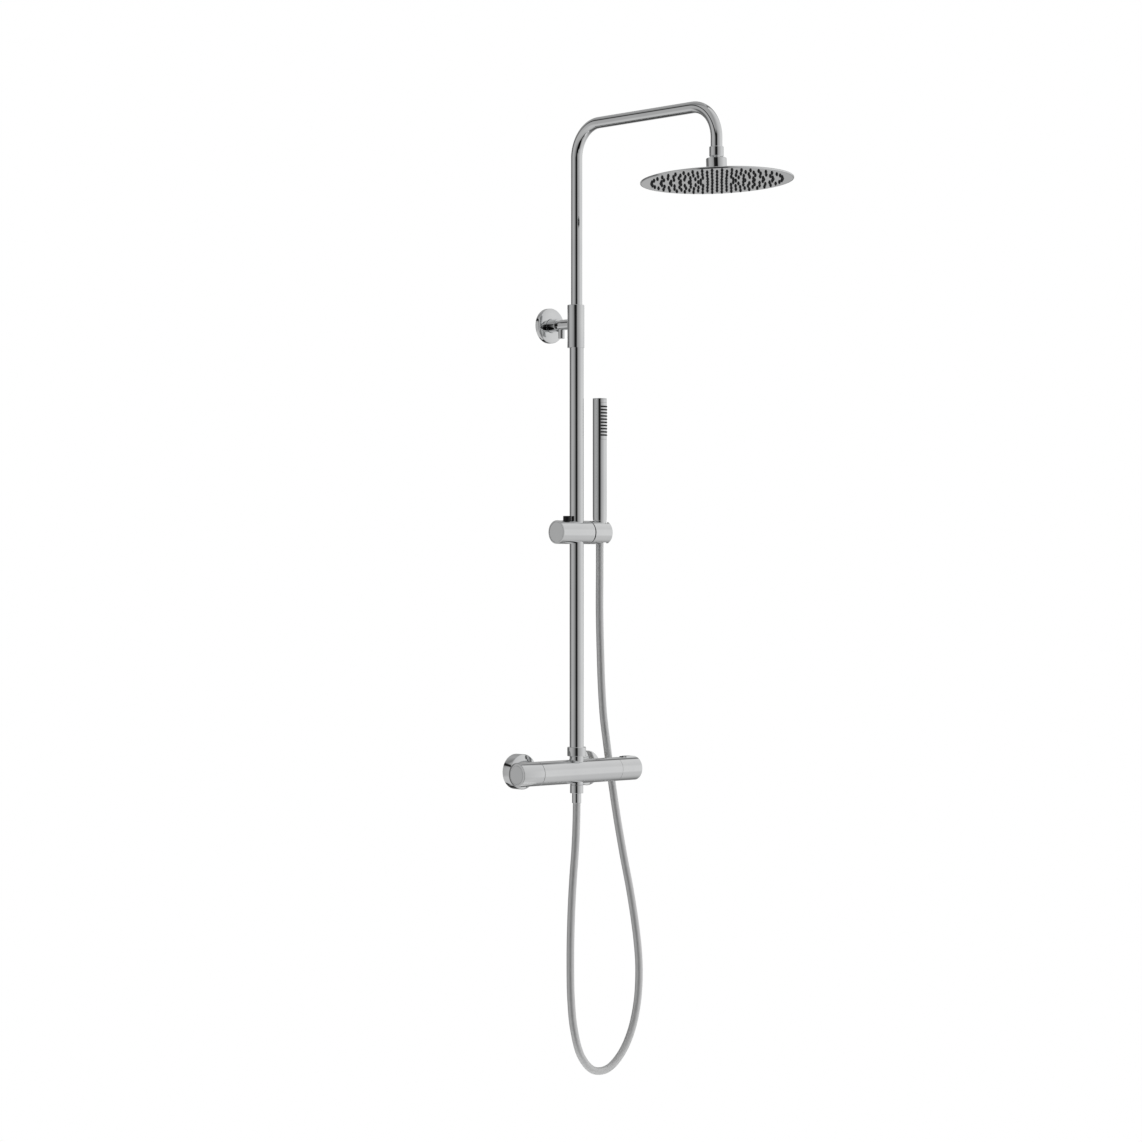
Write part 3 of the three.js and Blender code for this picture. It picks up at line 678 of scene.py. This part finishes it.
# ---- Slider, cradle and hand shower
def slider():
    at = on_axis(0, SLIDER_HEIGHT)
    seam = SLIDER_SEAM - 0.9
    button = on_axis(-21.8, SLIDER_HEIGHT)
    body = turned([
        (0, SLIDER_LEFT), (SLIDER_R - 0.8, SLIDER_LEFT), (SLIDER_R - 0.25, SLIDER_LEFT + 0.25),
        (SLIDER_R, SLIDER_LEFT + 0.8), (SLIDER_R, seam - 0.3), (SLIDER_R - 0.3, seam), (0, seam),
    ], "x", at)
    carved(body, [
        rod(12.4, -25, 25, "z", at),
        rod(17.5, SLIDER_LEFT - 1, SLIDER_LEFT + 2.7, "x", at),
        rod(12, SLIDER_LEFT - 1, -10, "x", at),
        rod(6.3, 5, 30, "x", at),
        rod(7.4, 0, 25, "z", button),
    ])
    stands_for(body, "slider_body", 0)
    stands_for(rod(17.2, SLIDER_LEFT, SLIDER_LEFT + 2.4, "x", at), "slider_end_cap", 0.3)
    ribs = []
    for i in range(5):
        step = i * 1.2
        ribs += [(6.2 - step, 27.7), (5.9 - step, 27.3), (5.3 - step, 27.3), (5.0 - step, 27.7)]
    stands_for(turned([
        (0, 5.5), (7.6, 5.5), (7.6, 7.4), (7, 7.4), (7, 26.8), (6.7, 27.5), *ribs, (0, 27.7),
    ], "z", button, 64), "release_button", 0)
    low, high = SLIDER_SEAM - 0.6, SLIDER_SEAM + 0.6
    stands_for(turned([
        (6.3, low), (19.4, low), (19.4, high), (6.3, high),
    ], "x", at), "friction_washer", 0.2)


def seat(extra):
    """The tapered seat of the hand shower, grown by some millimetres."""
    return turned([
        (0, -22), (9.9 + extra, -22), (12.1 + extra, 22), (0, 22),
    ], "z", on_axis(HANDSET_X, SLIDER_HEIGHT))


def mouth():
    """The slot through which the hose goes into the cradle."""
    return block((HANDSET_X, -8, -25), (SLIDER_RIGHT + 5, 8, 25), on_axis(0, SLIDER_HEIGHT))


def cradle():
    at = on_axis(0, SLIDER_HEIGHT)
    left = SLIDER_SEAM + 0.9
    body = turned([
        (0, left), (SLIDER_R - 0.3, left), (SLIDER_R, left + 0.3), (SLIDER_R, SLIDER_RIGHT - 1.2),
        (SLIDER_R - 0.35, SLIDER_RIGHT - 0.35), (SLIDER_R - 1.2, SLIDER_RIGHT), (0, SLIDER_RIGHT),
    ], "x", at)
    carved(body, [seat(1.3), mouth(), rod(6.3, left - 1, 39.8, "x", at)])
    stands_for(body, "holder", 0)
    lining = seat(1)
    carved(lining, [block((30, -20, -14.5), (HANDSET_X + 9, 20, 14.5), at)], "INTERSECT")
    stands_for(carved(lining, [seat(0), mouth()]), "holder_liner", 0)


def hand_shower():
    at = on_axis(HANDSET_X, SLIDER_HEIGHT)
    stands_for(turned([
        (7.2, -17), (9.5, -17), (9.85, -16.6), (11.7, 20.6), (11.5, 21), (8.9, 21),
        (8.9, -2.5), (7.2, -2.5),
    ], "z", at), "hose_cone_nut", 0.15)
    stands_for(turned([
        (3.5, -16), (6.8, -16), (6.8, -2.2), (8.5, -2.2), (8.5, 0), (3.5, 0),
    ], "z", at), "hose_ferrule_upper", 0.15)
    low, high = 160, 223.5  # ends of the window for the nozzles
    shell = turned([
        (6.4, 2.3), (8.5, 2.3), (8.5, 21.4), (11.75, 21.4), (HANDSET_R, 28),
        (HANDSET_R, HANDSET_TOP - 1.6), (10.6, HANDSET_TOP - 1.6), (10.6, 26), (6.4, 21.4),
    ], "z", at)
    carved(shell, [block((-8.4, -15, low), (8.4, -6, high), at)])
    stands_for(shell, "handset_body", 0)
    stands_for(turned([
        (0, HANDSET_TOP - 6), (10.3, HANDSET_TOP - 6), (10.3, HANDSET_TOP - 1.3),
        (HANDSET_R, HANDSET_TOP - 1.3), (HANDSET_R, HANDSET_TOP), (0, HANDSET_TOP),
    ], "z", at), "handset_top_cap", 0.3)
    plate = turned([
        (10.4, low + 0.3), (HANDSET_R, low + 0.3), (HANDSET_R, high - 0.3), (10.4, high - 0.3),
    ], "z", at)
    carved(plate, [block((-8.1, -15, low), (8.1, -6, high), at)], "INTERSECT")
    slots = [block((-6.8, -15, z - 1.4), (6.8, -6, z + 1.4), at) for z in SPRAY_ROWS]
    carved(plate, [joined("slots", slots)])
    stands_for(plate, "handset_face", 0)
    pad = turned([(8.6, 161), (10, 161), (10, 222.5), (8.6, 222.5)], "z", at)
    carved(pad, [block((-7.6, -15, 150), (7.6, -5, 230), at)], "INTERSECT")
    tips = []
    for z in SPRAY_ROWS:
        strip = turned([(9.2, z - 1.3), (13, z - 1.3), (13, z + 1.3), (9.2, z + 1.3)], "z", at)
        cut = block((-6.4, -15, z - 3), (6.4, -6, z + 3), at)
        tips.append(carved(strip, [cut], "INTERSECT"))
        for degrees in (-27, -13.5, 0, 13.5, 27):
            angle = math.radians(degrees)
            outwards = Vector((math.sin(angle), -math.cos(angle), 0))
            aim = outwards.to_track_quat("Z", "Y").to_matrix().to_4x4()
            place = Matrix.Translation(Vector((at[0], at[1], at[2] + z)) * MM)
            tip = turned([
                (0, 11.5), (1.2, 11.5), (1.1, 13.3), (0.8, 13.6), (0, 13.6),
            ], sides=12)
            tip.data.transform(place @ aim)
            tips.append(tip)
    stands_for(joined("spray", [pad, *tips]), "handset_nozzles", 0)


# ---- The rain head, modelled level about the ball's centre and then leaned
def leaned(piece):
    lean = Matrix.Rotation(-math.radians(HEAD_LEAN), 4, "X")
    ball = Matrix.Translation(Vector((0, -AXIS_OUT - ARM_REACH, BALL_HEIGHT)) * MM)
    piece.data.transform(ball @ lean)
    return piece


def nozzle(x, y):
    face = HEAD_FACE
    return turned([
        (0, face - 3.2), (1.1, face - 3.2), (1.5, face - 2.9), (2.0, face - 1.2),
        (2.3, face - 0.35), (2.8, face - 0.05), (2.8, face + 0.3), (0, face + 0.3),
    ], "z", (x, y, 0), 12)


def rain_head():
    face = HEAD_FACE
    stands_for(leaned(turned([
        (8.6, 11.2), (8.6, 4.6), *arc(9.65, 0, 26, 14, 4), *arc(11.5, 0, 11, 0, 4), (11.6, -0.9),
        (13.3, -0.9), (13.3, -7), (16.1, -7), (16.75, -6.4), (16.75, 10.5), (16, 11.2),
    ])), "ball_nut", 0.15)
    stands_for(leaned(turned([
        *arc(11.5, 0, -8, -52, 8), (7, -12.3), (15, -12.6), (60, face + 10.1), (119.5, face + 3.1),
        (123.9, face + 2.1), (123.9, face), (124.6, face), (125, face + 0.4),
        (125, face + 2.2), (124.3, face + 2.9), (119.5, face + 4.3),
        (60, face + 11.4), (19, -8.4), (17, -7.4), (13, -7.4), (13, -1.6),
    ], sides=2 * ROUND)), "head_shell", 0.15)
    stands_for(leaned(turned([
        (0, face), (123.4, face), (123.4, face + 1), (0, face + 1),
    ], sides=2 * ROUND)), "head_face_plate", 0.2)
    places = [(0, 0)]
    for ring in range(1, NOZZLE_RINGS + 1):
        for i in range(6 * ring):
            angle = NOZZLE_TURN + 2 * math.pi * i / (6 * ring)
            out = NOZZLE_PITCH * ring
            places.append((out * math.cos(angle), out * math.sin(angle)))
    mat = rod(112, face + 1.3, face + 2.6)
    nozzles = [nozzle(x, y) for x, y in places]
    stands_for(leaned(joined("nozzles", [mat, *nozzles])), "nozzle_mat", 0)


hose()
valve()
handles()
riser()
bracket()
arm()
slider()
cradle()
hand_shower()
rain_head()

for node, piece in frame["nodes"].items():
    piece.data.materials.clear()
    piece.data.materials.append(SLOT_MATERIAL[SLOT_OF[node]])


# ---- Studio: pale all round, with the dark bands that draw lines on chrome.
# Greys by direction: degrees round the column, from behind the camera to its right.
LEVEL_RING = [
    (-180, 176), (-167, 165), (-152, 108), (-105, 100), (-99.5, 166), (-75, 177), (-50, 165),
    (-28, 135), (-12, 60), (-6, 16), (5, 14), (12, 60), (18, 148), (45, 178), (67, 195), (88, 212),
    (125, 212), (150, 205), (164, 160), (180, 176),
]
HIGH_RING = [
    (-180, 150), (-150, 165), (-125, 150), (-108, 130), (-98, 130), (-88, 165), (-40, 165),
    (0, 150), (60, 195), (125, 210), (143, 205), (149, 110), (158, 110), (166, 180), (180, 150),
]
LOW_RING = [
    (-180, 95), (-165, 90), (-145, 145), (-120, 190), (-90, 192), (-40, 170), (-8, 120), (8, 120),
    (30, 160), (80, 196), (110, 192), (132, 178), (150, 150), (165, 118), (180, 95),
]
# Dark patches: degrees round and up, inner and outer angle of the edge, grey.
PATCHES = [(10, -31, 22, 27, 8), (-135, -43, 4, 9, 20)]
STRIP_GREY = 28
FALL_GREY = 30
BEHIND = [-c for c in CAMERA_LOOKS]
UP = (0, 0, 1)


def studio():
    world = bpy.data.worlds.new("studio")
    bpy.context.scene.world = world
    world.use_nodes = True
    tree = world.node_tree
    tree.nodes.clear()
    towards = add(tree, "ShaderNodeTexCoord").outputs["Generated"]

    def along(axis):
        """How far the direction points along an axis."""
        inputs = {0: towards, 1: axis}
        node = add(tree, "ShaderNodeVectorMath", inputs, operation="DOT_PRODUCT")
        return node.outputs["Value"]

    behind, right, up = along(BEHIND), along(CAMERA_RIGHT), along(UP)
    turn = maths(tree, "ARCTAN2", right, behind)
    place = remap(tree, turn, -math.pi, math.pi, 0.0, 1.0)

    def ring(pairs):
        return ramp(tree, place, [((degrees + 180) / 360, grey(level)) for degrees, level in pairs])

    def fades(value, low, high, to_low, to_high):
        return remap(tree, value, low, high, to_low, to_high)

    def product(first, second):
        return maths(tree, "MULTIPLY", first, second)

    def blended(factor, first, second):
        node = add(tree, "ShaderNodeMix", {0: factor, 6: first, 7: second}, data_type="RGBA")
        return node.outputs[2]

    def near(degrees, elevation, inner, outer):
        """1 within the inner angle of a direction, 0 beyond the outer one."""
        turned_by, raised = math.radians(degrees), math.radians(elevation)
        aim = (
            Vector(BEHIND) * (math.cos(raised) * math.cos(turned_by))
            + Vector(CAMERA_RIGHT) * (math.cos(raised) * math.sin(turned_by))
            + Vector(UP) * math.sin(raised)
        )
        closest, farthest = math.cos(math.radians(inner)), math.cos(math.radians(outer))
        return fades(along(tuple(aim)), farthest, closest, 0.0, 1.0)

    surroundings = blended(fades(up, 0.25, 0.45, 0.0, 1.0), ring(LEVEL_RING), ring(HIGH_RING))
    surroundings = blended(fades(up, -0.27, -0.45, 0.0, 1.0), surroundings, ring(LOW_RING))
    # A dark strip that rises from behind the camera to its left, so that the line down the tubes
    # runs on round the bends.
    strip = maths(tree, "ABSOLUTE", mixed(tree, right, 0.508, up, 0.861))
    strip = product(fades(strip, 0.06, 0.13, 1.0, 0.0), fades(up, 0.0, 0.06, 0.0, 1.0))
    to_left = fades(turn, math.radians(-124), math.radians(-112), 0.0, 1.0)
    surroundings = blended(product(strip, to_left), surroundings, grey(STRIP_GREY))
    # A second one that falls from there, below the camera and away to the left of the wall.
    fall = maths(tree, "ADD", right, product(maths(tree, "SUBTRACT", 1.0, behind), 0.18))
    fall = fades(maths(tree, "ABSOLUTE", fall), 0.06, 0.14, 1.0, 0.0)
    fall = product(fall, fades(up, -0.1, -0.02, 1.0, 0.0))
    surroundings = blended(fall, surroundings, grey(FALL_GREY))
    for degrees, elevation, inner, outer, level in PATCHES:
        patch = near(degrees, elevation, inner, outer)
        surroundings = blended(patch, surroundings, grey(level))
    lit = add(tree, "ShaderNodeBackground", {"Color": surroundings, "Strength": 1.0})
    white = add(tree, "ShaderNodeBackground", {"Color": (1, 1, 1, 1), "Strength": 1.0})
    seen = add(tree, "ShaderNodeLightPath").outputs["Is Camera Ray"]
    choice = add(tree, "ShaderNodeMixShader", {0: seen, 1: lit.outputs[0], 2: white.outputs[0]})
    add(tree, "ShaderNodeOutputWorld", {"Surface": choice.outputs[0]})


def floor():
    """A pale disc under the column, for the picture only."""
    material, tree = new_material("pale_floor")
    clouds = noise(tree, place_mm(tree), 1 / 200)
    surface(tree, {
        "Base Color": ramp(tree, clouds, [(0.3, grey(238)), (0.7, grey(243))]),
        "Roughness": 0.8,
        "Emission Color": grey(240),
        "Emission Strength": 0.3,
    })
    disc = turned([(0, -810), (480, -810), (480, -800), (0, -800)], "z", on_axis(), 128)
    disc.name = "floor"
    disc.data.materials.append(material)


studio()
floor()
bpy.context.scene.view_settings.view_transform = "Standard"
